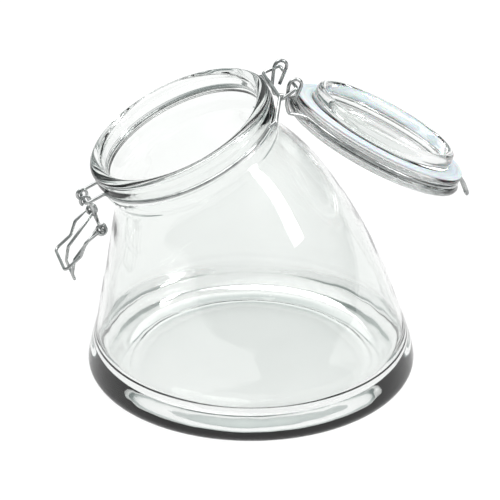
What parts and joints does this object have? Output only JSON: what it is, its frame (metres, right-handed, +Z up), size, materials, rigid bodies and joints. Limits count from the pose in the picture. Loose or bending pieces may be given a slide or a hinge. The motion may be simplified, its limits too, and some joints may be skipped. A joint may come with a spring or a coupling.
{
  "type": "bail clamp jar",
  "caption": "Leaning round glass storage jar with a wire-hinged glass lid, hanging open, a white rubber seal and a wire bail clamp.",
  "frame": {"origin": "on the ground plane under the middle of the open jar's bounding box", "axes": "+X toward the lid hinge, +Y along the hinge pins, +Z up"},
  "size_m": [0.2449, 0.1924, 0.1841],
  "materials": {
    "clear_glass": "clear, faint grey-green at the edges",
    "white_rubber": "translucent white, satin",
    "bright_wire": "bright drawn wire"
  },
  "bodies": {
    "jar": {"jar_body": "clear_glass", "neck_wire": "bright_wire"},
    "lid": {"lid_glass": "clear_glass", "gasket": "white_rubber", "lid_wire": "bright_wire"},
    "lever": {"latch_lever": "bright_wire"},
    "link": {"latch_link": "bright_wire"}
  },
  "joints": [
    {"name": "lid_hinge", "type": "hinge", "parent": "jar", "child": "lid", "pos_m": [0.01171, 0, 0.17894], "axis": [0, 1, 0], "range_deg": [-233, 0]},
    {"name": "lever_pivot", "type": "hinge", "parent": "jar", "child": "lever", "pos_m": [-0.10724, 0, 0.11924], "axis": [0, 1, 0], "range_deg": [-20, 58]},
    {"name": "link_pivot", "type": "hinge", "parent": "lever", "child": "link", "pos_m": [-0.09996, 0, 0.10519], "axis": [0, 1, 0], "range_deg": [0, 98]}
  ]
}
